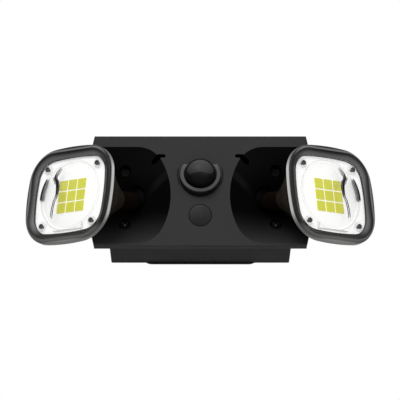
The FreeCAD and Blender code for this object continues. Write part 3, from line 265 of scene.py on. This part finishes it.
def front_finish():
    """Charcoal satin plastic, with painted shade and light: near black painted shade in the recesses, a
    painted light streak on their walls and painted light on their floors, painted shade on the sides and
    underside behind the face, a painted shadow round the hood's sides, a dark seam and a dark gap round the
    window.
    """
    face, rim, dark = grey(0.0405), grey(0.023), grey(0.005)
    # the recess colours stand for light and shade: painted shade on the walls, a painted light streak and a
    # lit floor
    recess_shade, roof_shade, band, floor = grey(0.0006), grey(0.0036), grey(0.0062), grey(0.037)
    roughness, rougher_by = 0.5, 0.4                              # on the face, and more in the recesses
    skin = (FACE_Y + 0.00004, FACE_Y + 0.00012)
    recess_end, recess_height = (0.1061, 0.1064), (0.0505, 0.0509)   # from the middle, and from RECESS_Z
    hood_shadow_ring, hood_shadow_height = (0.0227, 0.0003, 0.0004), (SENSOR_Z - 0.002, 0.006, 0.006)
    window_ring = (0.0114, 0.0002, 0.0003)
    seam_band = (SEAM_Y, 0.0014, 0.0014)
    floor_height, floor_power = (RECESS_Z - 0.052, RECESS_Z - 0.014), 1.6
    roof_height = (RECESS_Z + 0.008, RECESS_Z + 0.034)
    sheen_slope, sheen_band, sheen_end = 1.1, (0.053, 0.002, 0.006), (0.042, 0.054)

    material, tree, texture = finish("front_plastic", face, roughness, cloud=0.08, Specular_IOR_Level=0.04)
    x, y, z = position(tree)
    width = magnitude(tree, x)
    behind = rise(tree, y, skin)
    recess = times(tree, behind, fall(tree, width, recess_end),
                   fall(tree, magnitude(tree, minus(tree, z, RECESS_Z)), recess_height))
    # a painted shadow on the face round the hood's sides
    hood_shadow = times(tree, mask(tree, distance(tree, x, minus(tree, z, SENSOR_Z)), hood_shadow_ring),
                     mask(tree, z, hood_shadow_height))
    window_gap = mask(tree, distance(tree, x, minus(tree, z, WINDOW_Z)), window_ring)
    front = blend_colour(tree, largest(tree, hood_shadow, window_gap), face, dark)
    # painted shade: behind the face the sides and underside are painted darker than the face
    edge = blend_colour(tree, mask(tree, y, seam_band), rim, dark)
    # a painted light streak slanting up across the recess wall
    painted_sheen = times(tree, mask(tree, maths(tree, "MULTIPLY_ADD", z, sheen_slope, width), sheen_band),
                  fall(tree, width, sheen_end))
    # painted shade: the recess walls near black, a little lighter higher up
    wall = blend_colour(tree, rise(tree, z, roof_height), recess_shade, roof_shade)
    # painted light: the recess floor grows lighter towards its foot
    low = maths(tree, "POWER", fall(tree, z, floor_height, smooth=False), floor_power)
    shaded = blend_colour(tree, low, blend_colour(tree, painted_sheen, wall, band), floor)
    outside = blend_colour(tree, behind, front, edge)
    tree.links.new(blend_colour(tree, recess, outside, shaded), texture.inputs["Colour"])
    tree.links.new(maths(tree, "MULTIPLY_ADD", recess, rougher_by, roughness), texture.inputs["Roughness"])
    return material


def collar_finish():
    """The hood: a front ring with painted shade on its darker chamfer and near black flanks, and a painted
    highlight line at its foot.
    """
    ring, chamfer, flank, foot_highlight = grey(0.019), grey(0.007), grey(0.002), grey(0.045)
    chamfer_start = (0.0193, 0.0197)          # from the hood's axis
    flank_start = (-0.0016, -0.0009)          # along the hood's axis, from the dome's centre
    foot = (FACE_Y - 0.0012, FACE_Y - 0.0005)

    material, tree, texture = finish("collar_plastic", ring, 0.4, Specular_IOR_Level=0.32)
    x, y, z = position(tree)
    ahead, high = minus(tree, FACE_Y - SENSOR_OUT, y), minus(tree, z, SENSOR_Z)
    along = maths(tree, "MULTIPLY_ADD", ahead, math.cos(HOOD_TILT), times(tree, high, math.sin(HOOD_TILT)))
    level = height_over(tree, ahead, high, HOOD_TILT)
    # painted shade: the chamfer darker than the ring, the flanks near black
    front = blend_colour(tree, rise(tree, distance(tree, x, level), chamfer_start), ring, chamfer)
    tone = blend_colour(tree, fall(tree, along, flank_start), front, flank)
    # painted highlight: a light line at the hood's foot
    tree.links.new(blend_colour(tree, rise(tree, y, foot), tone, foot_highlight), texture.inputs["Colour"])
    return material


def dome_finish():
    """A satin grey cap over a dark lens, with painted light: the cap grows lighter upwards and the lens
    darker downwards. They meet in an arch, and a dark gap runs round them.

    Its lines lie level as the camera sees them, from VIEW_BELOW.
    """
    cap, lit_crown, shaded_lens_foot, lens_top, gap = grey(0.038), grey(0.058), grey(0.001), grey(0.010), grey(0.002)
    foot_level, crown_level = -0.014, 0.0135                      # from the dome's centre
    arch_bend = -20.0                                             # per metre
    flank_start, flank_slope, flank_drop = 0.0105, 0.98, -0.0003
    parting_edge = (-0.00008, 0.00008)
    gap_start = (0.0137, 0.0143)

    material, tree, texture = finish("dome_plastic", cap, 0.42, relief=0.0, Specular_IOR_Level=0.1)
    x, y, z = position(tree)
    level = height_over(tree, minus(tree, FACE_Y - SENSOR_OUT, y), minus(tree, z, SENSOR_Z), -VIEW_BELOW)
    arch = maths(tree, "MULTIPLY_ADD", times(tree, x, x), arch_bend, DOME_PARTING)
    flank = maths(tree, "MULTIPLY_ADD", minus(tree, magnitude(tree, x), flank_start), flank_slope, flank_drop)
    above = rise(tree, minus(tree, level, largest(tree, arch, flank)), parting_edge)
    # painted light and shade: each part is lighter higher up
    lens_share = rise(tree, level, (foot_level, DOME_PARTING), smooth=False)
    cap_share = rise(tree, level, (DOME_PARTING, crown_level), smooth=False)
    tone = blend_colour(tree, above, blend_colour(tree, lens_share, shaded_lens_foot, lens_top),
                        blend_colour(tree, cap_share, cap, lit_crown))
    around = rise(tree, distance(tree, x, level), gap_start)
    tree.links.new(blend_colour(tree, around, tone, gap), texture.inputs["Colour"])
    return material


def window_finish():
    """Smoked plastic, painted lighter upwards and darker towards the window's foot as painted light and
    shade, with a dark edge.
    """
    base, foot, top, edge = grey(0.02), grey(0.010), grey(0.028), grey(0.004)
    reach = 0.0112
    edge_start = (0.0106, 0.0110)

    material, tree, texture = finish("window_plastic", base, 0.4, cloud=0.04, Specular_IOR_Level=0.1)
    x, _, z = position(tree)
    # painted light and shade: the window grows lighter upwards
    tone = blend_colour(tree, rise(tree, z, (WINDOW_Z - reach, WINDOW_Z + reach), smooth=False), foot, top)
    rim = rise(tree, distance(tree, x, minus(tree, z, WINDOW_Z)), edge_start)
    tree.links.new(blend_colour(tree, rim, tone, edge), texture.inputs["Colour"])
    return material


def outline_depth(tree, across, up):
    """How far a place on a head's front lies in from its round-cornered outline."""
    beyond_side = minus(tree, magnitude(tree, across), HEAD_HALF_WIDTH - HEAD_CORNER)
    beyond_top = minus(tree, magnitude(tree, up), HEAD_HALF_HEIGHT - HEAD_CORNER)
    corner = distance(tree, largest(tree, beyond_side, 0.0), largest(tree, beyond_top, 0.0))
    inner = maths(tree, "MINIMUM", largest(tree, beyond_side, beyond_top), 0.0)
    return minus(tree, HEAD_CORNER, maths(tree, "ADD", corner, inner))


def bezel_finish(side):
    """Black satin frame with painted light: a highlight on the ridge near the front edge and a paler slope at
    the upper outer side, a paler band along the lower edge, and a painted reflection on the outer wall
    elsewhere.
    """
    black, bead_highlight, slope, sill_highlight = rgb(0.010, 0.0098, 0.0095), grey(0.19), grey(0.15), rgb(0.12, 0.118, 0.115)
    wall_reflection_low, wall_reflection_side = rgb(0.36, 0.355, 0.35), rgb(0.75, 0.74, 0.73)
    upper_outer = (-0.014, 0.014)                                 # of up less across
    bead_depth, slope_depth = (0.0040, 0.0004, 0.0009), (0.0060, 0.0102)
    sill_height, sill_depth = (-0.042, -0.032), (0.0048, 0.0068)
    wall_depth, side_start = (0.0012, 0.0028), (0.020, 0.044)
    back_start = (0.0016, 0.0034)                                 # behind the front edge

    material, tree, texture = finish(side + "_bezel_plastic", black, 0.34, Specular_IOR_Level=0.13)
    head = add(tree, "ShaderNodeGroup", node_tree=HEAD_FRAMES[side])
    across, up = head.outputs["Across"], head.outputs["Up"]
    depth = outline_depth(tree, across, up)
    upper = rise(tree, minus(tree, up, across), upper_outer)
    # painted highlights on the ridge and the slope, only at the upper outer side
    ridge = times(tree, mask(tree, depth, bead_depth), upper)
    falling = times(tree, rise(tree, depth, slope_depth), upper)
    # a painted highlight along the lower edge
    ledge = times(tree, fall(tree, up, sill_height), fall(tree, depth, sill_depth))
    # on the inner side the painted reflection on the wall starts behind the front edge
    inner_side = rise(tree, across, side_start)
    reach = largest(tree, rise(tree, head.outputs["Back"], back_start), minus(tree, 1.0, inner_side))
    wall = times(tree, fall(tree, depth, wall_depth), minus(tree, 1.0, upper), reach)
    tone = blend_colour(tree, ledge, blend_colour(tree, ridge, black, bead_highlight), sill_highlight)
    tone = blend_colour(tree, falling, tone, slope)
    # the painted reflection on the wall is brighter on the inner side
    pale = blend_colour(tree, inner_side, wall_reflection_low, wall_reflection_side)
    tree.links.new(blend_colour(tree, wall, tone, pale), texture.inputs["Colour"])
    return material


def stem_finish():
    """Brown-black paint on the neck, and painted shade on the ball, near black where it sits in its socket.
    """
    paint, ball_shade = rgb(0.005, 0.0028, 0.0022), grey(0.0004)
    ball_edge = (0.0174, 0.0184)                                  # from the ball's centre

    material, tree, texture = finish("stem_paint", paint, 0.55, Specular_IOR_Level=0.02)
    x, y, z = position(tree)
    aside, behind, above = (minus(tree, value, centre)
                            for value, centre in zip((magnitude(tree, x), y, z), BALL))
    from_ball = distance(tree, distance(tree, aside, behind), above)
    # painted shade: the ball near black in its socket
    tree.links.new(blend_colour(tree, fall(tree, from_ball, ball_edge), paint, ball_shade),
                   texture.inputs["Colour"])
    return material


def screw_finish():
    """Black screws with a painted highlight: a ring and a spot on the head, brightest at its top and on the
    lower pair.
    """
    black, highlight_grey = grey(0.002), grey(0.30)
    ring_band, spot_band, spot_below = (0.0032, 0.0003, 0.0005), (0.0, 0.0004, 0.0007), 0.0034
    top_span, ring_foot = (-0.0030, 0.0), 0.06                    # the ring's light at its top is 1
    pair_span, upper_pair = (-0.002, 0.002), 0.08                 # the lower pair's light is 1

    material, tree, texture = finish("black_screw", black, 0.35, Specular_IOR_Level=0.03)
    x, _, z = position(tree)
    aside = minus(tree, magnitude(tree, x), CASE_SCREW_X)
    below = minus(tree, magnitude(tree, z), CASE_SCREW_Z)         # on the lower pair, under the centre
    # painted highlights: a ring on the head's edge, brightest at its top, and a spot below its centre,
    # brighter on the lower pair
    ring = times(tree, mask(tree, distance(tree, aside, below), ring_band),
                 ramp(tree, below, top_span, (1.0, ring_foot)))
    spot = mask(tree, distance(tree, aside, minus(tree, below, spot_below)), spot_band)
    lower = ramp(tree, z, pair_span, (1.0, upper_pair))
    drawn = times(tree, largest(tree, ring, spot), lower)
    tree.links.new(blend_colour(tree, drawn, black, highlight_grey), texture.inputs["Colour"])
    return material


def streak_line(tree, up):
    """The wavy painted reflection's place across the lens for each height: a curve through given points."""
    heights = (-0.026, 0.028)
    swing, inner_end = 0.0125, -0.019
    first, *bends, last = ((0.0, 0.05), (0.115, 0.27), (0.31, 0.64), (0.5, 0.97), (0.69, 0.78),
                           (0.85, 0.36), (1.0, 0.57))
    curve = add(tree, "ShaderNodeFloatCurve")
    line = curve.mapping.curves[0]
    line.points[0].location, line.points[1].location = first, last
    for place in bends:
        line.points.new(*place)
    curve.mapping.update()
    tree.links.new(rise(tree, up, heights, smooth=False), curve.inputs["Value"])
    return maths(tree, "MULTIPLY_ADD", curve.outputs["Value"], swing, inner_end)


def dark_reflection_marks(tree, across, up):
    """Painted dark reflections on a lens: the wavy line, its branch and blot, and a crescent at the outer
    edge.
    """
    thin_foot, full, thin_top = 0.0005, 0.0016, 0.0004            # half widths of the wavy line
    foot_span, top_span, line_soft = (-0.008, 0.010), (0.016, 0.026), 0.0006
    line_ends = (0.003, 0.024, 0.005)
    branch_aside, branch_height = (-0.0030, 0.0006, 0.0008), (0.0135, 0.003, 0.003)
    blot_aside, blot_height = (0.0024, 0.0005, 0.0008), (0.0235, 0.0025, 0.0025)
    crescent_radius, crescent_height = (0.0358, 0.0021, 0.0004), (0.009, 0.010, 0.003)
    outer_span = (-0.032, -0.028)
    side_marks = 0.85

    thick = maths(tree, "MINIMUM", ramp(tree, up, foot_span, (thin_foot, full)),
                  ramp(tree, up, top_span, (full, thin_top)))
    aside = minus(tree, across, streak_line(tree, up))
    wave = times(tree, mask(tree, aside, (0.0, thick, line_soft)), mask(tree, up, line_ends))
    branch = times(tree, mask(tree, aside, branch_aside), mask(tree, up, branch_height))
    blot = times(tree, mask(tree, aside, blot_aside), mask(tree, up, blot_height))
    crescent = times(tree, fall(tree, across, outer_span), mask(tree, up, crescent_height),
                     mask(tree, distance(tree, across, up), crescent_radius))
    return largest(tree, wave, crescent, times(tree, largest(tree, branch, blot), side_marks))


def fine_lines(tree, across, up):
    """The grey lines on a lens: its dome's rim, the screws' seats and the edges of the tab at its foot."""
    rim_band, rim_share = (0.0366, 0.0003, 0.0004), 0.3
    seat_band, seat_share = (0.0044, 0.0003, 0.0005), 0.35
    tab_height, tab_width = (-0.0366, 0.0003, 0.0003), (0.002, 0.018, 0.001)
    end_across, end_height = (0.0200, 0.0003, 0.0003), (-0.0335, 0.003, 0.0005)
    tab_share = 0.7

    rim = times(tree, mask(tree, distance(tree, across, up), rim_band), rim_share)
    seat = distance(tree, minus(tree, magnitude(tree, across), LENS_SCREW_ACROSS),
                    minus(tree, magnitude(tree, up), LENS_SCREW_UP))
    seats = times(tree, mask(tree, seat, seat_band), seat_share)
    tab = times(tree, mask(tree, up, tab_height), mask(tree, across, tab_width))
    tab_end = times(tree, mask(tree, across, end_across), mask(tree, up, end_height))
    return largest(tree, rim, seats, times(tree, largest(tree, tab, tab_end), tab_share))


def lens_finish(side):
    """Clear moulded plastic: see-through, paler at its rim, with painted dark reflections, screw seats and
    tab edges.
    """
    clear, dark, line = grey(0.95), grey(0.002), grey(0.35)
    facing_span, alpha_span = (0.1, 0.95), (0.04, 0.4)            # from face on to edge on

    material, tree, texture = finish(side + "_clear_lens", clear, 0.05, cloud=0.02, relief=0.0,
                                     Specular_IOR_Level=0.06)
    head = add(tree, "ShaderNodeGroup", node_tree=HEAD_FRAMES[side])
    across, up = head.outputs["Across"], head.outputs["Up"]
    # painted reflections: dark marks put on the lens
    dark_reflections, fine = dark_reflection_marks(tree, across, up), fine_lines(tree, across, up)
    tone = blend_colour(tree, dark_reflections, blend_colour(tree, fine, clear, line), dark)
    tree.links.new(tone, texture.inputs["Colour"])
    edge = add(tree, "ShaderNodeLayerWeight", Blend=0.35)
    see = ramp(tree, edge.outputs["Facing"], facing_span, alpha_span)
    tree.links.new(largest(tree, see, largest(tree, dark_reflections, fine)), tree.nodes[SHADER].inputs["Alpha"])
    return material


# painted shade: the front's plastic, made much darker where less light reaches it
HOUSING_SHADE = plain("housing_plastic", grey(0.0065), 0.55, Specular_IOR_Level=0.05)
BOARD = plain("circuit_green", rgb(0.02, 0.14, 0.06), 0.4)
FINISHES = {
    "front_housing": front_finish(),
    "rear_housing": HOUSING_SHADE,
    "sensor_collar": collar_finish(),
    "sensor_dome": dome_finish(),
    "light_sensor_window": window_finish(),
    "wall_gasket": plain("foam", grey(0.019), 0.85, grain=0.0012, relief=0.4),
    "housing_seal": plain("seal_rubber", grey(0.012), 0.7),
    "left_bezel": bezel_finish("left"),
    "right_bezel": bezel_finish("right"),
    "head_shell": plain("head_plastic", rgb(0.013, 0.0095, 0.0065), 0.5, Specular_IOR_Level=0.1),
    "ball_stem": stem_finish(),
    "ball_liner": plain("liner_plastic", grey(0.002), 0.6, Specular_IOR_Level=0.03),
    "socket_cup": HOUSING_SHADE,
    "left_lens": lens_finish("left"),
    "right_lens": lens_finish("right"),
    "lens_screws": plain("lens_screw", grey(0.075), 0.45, Specular_IOR_Level=0.2),
    "housing_screws": screw_finish(),
    "socket_screws": plain("plated_screw", rgb(0.45, 0.45, 0.46), 0.3, Metallic=1.0),
    "lock_nut": plain("plated_nut", rgb(0.45, 0.45, 0.46), 0.3, Metallic=1.0),
    # the reflector and the LED board glow though they are no lamp: painted light
    "reflector": glowing("reflector_white", grey(0.86), 0.35, 0.4, cloud=0.03),
    "led_board": glowing("board_painted_glow", grey(0.85), 0.4, 0.4, cloud=0.03),
    "led_chips": glowing("phosphor", rgb(0.60, 0.60, 0.02), 0.5, 0.25, cloud=0.06, Specular_IOR_Level=0.2),
    "heat_spreader": plain("spreader_metal", rgb(0.6, 0.6, 0.61), 0.4, Metallic=1.0),
    "sensor_board": BOARD,
    "driver_board": BOARD,
    "infrared_sensor": plain("sensor_can", grey(0.55), 0.3, Metallic=1.0),
    "light_sensor": plain("sensor_epoxy", rgb(0.6, 0.58, 0.5), 0.2),
    "driver_transformer": plain("coil_tape", rgb(0.6, 0.45, 0.08), 0.35),
    "driver_capacitors": plain("capacitor_sleeve", rgb(0.02, 0.02, 0.04), 0.3),
    "terminal_block": plain("terminal_plastic", rgb(0.7, 0.7, 0.68), 0.5),
    "stem_seal": plain("stem_rubber", grey(0.012), 0.7),
    "lens_seal": plain("lens_rubber", grey(0.02), 0.7),
}


def finish_for(node):
    """The finish under the node's own name, or under that name without its side."""
    return FINISHES.get(node) or FINISHES[node.split("_", 1)[1]]


for node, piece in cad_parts.items():
    piece.data.materials.clear()
    piece.data.materials.append(finish_for(node))


# Stage, light and camera ----------------------------------------------------------------------------------

def stage():
    """A pale floor well below the light, and a white backdrop for the camera and for reflections."""
    reach, floor_z = 4.0, -1.1
    lighting, shown = 0.36, 1.0    # the backdrop's strength as a light, and as it is seen
    corners = [(-reach, -reach, floor_z), (reach, -reach, floor_z), (reach, reach, floor_z),
               (-reach, reach, floor_z)]
    mesh = bpy.data.meshes.new("floor")
    mesh.from_pydata(corners, [], [(0, 1, 2, 3)])
    floor = bpy.data.objects.new("floor", mesh)
    bpy.context.collection.objects.link(floor)
    mesh.materials.append(plain("floor_paint", grey(0.6), 0.8, cloud=0.02))
    world = bpy.data.worlds.new("studio")
    bpy.context.scene.world = world
    world.use_nodes = True
    tree = world.node_tree
    background = tree.nodes["Background"]
    path = add(tree, "ShaderNodeLightPath")
    seen = largest(tree, path.outputs["Is Camera Ray"], path.outputs["Is Transmission Ray"],
                   path.outputs["Is Glossy Ray"])
    background.inputs["Color"].default_value = grey(1.0)
    tree.links.new(ramp(tree, seen, (0.0, 1.0), (lighting, shown), smooth=False),
                   background.inputs["Strength"])


def area_lamp(name, place, power):
    """A square soft lamp that looks at the middle of the light's front."""
    target, size = Vector((0.0, -0.08, 0.0)), 1.2
    lamp = bpy.data.lights.new(name, "AREA")
    lamp.energy = power
    lamp.size = size
    holder = bpy.data.objects.new(name, lamp)
    holder.location = place
    holder.rotation_euler = (target - Vector(place)).to_track_quat("-Z", "Y").to_euler()
    bpy.context.collection.objects.link(holder)


def camera():
    """Straight ahead of the light and VIEW_BELOW under it, with 1 mm of the face plane to a pixel."""
    target = Vector((-0.0003, FACE_Y, -0.00989))
    away, view_width, sensor_width = 3.0, 0.4, 36.0    # the sensor's width is in millimetres
    lens = bpy.data.cameras.new("camera")
    lens.sensor_width = sensor_width
    lens.lens = sensor_width * away / view_width
    holder = bpy.data.objects.new("camera", lens)
    holder.location = target + away * Vector((0.0, -math.cos(VIEW_BELOW), -math.sin(VIEW_BELOW)))
    holder.rotation_euler = (target - holder.location).to_track_quat("-Z", "Y").to_euler()
    bpy.context.collection.objects.link(holder)
    bpy.context.scene.camera = holder


stage()
area_lamp("key", (-0.5, -1.6, 1.2), 22.0)
area_lamp("fill", (1.2, -1.6, 0.2), 8.0)
camera()
bpy.context.scene.view_settings.view_transform = "Standard"
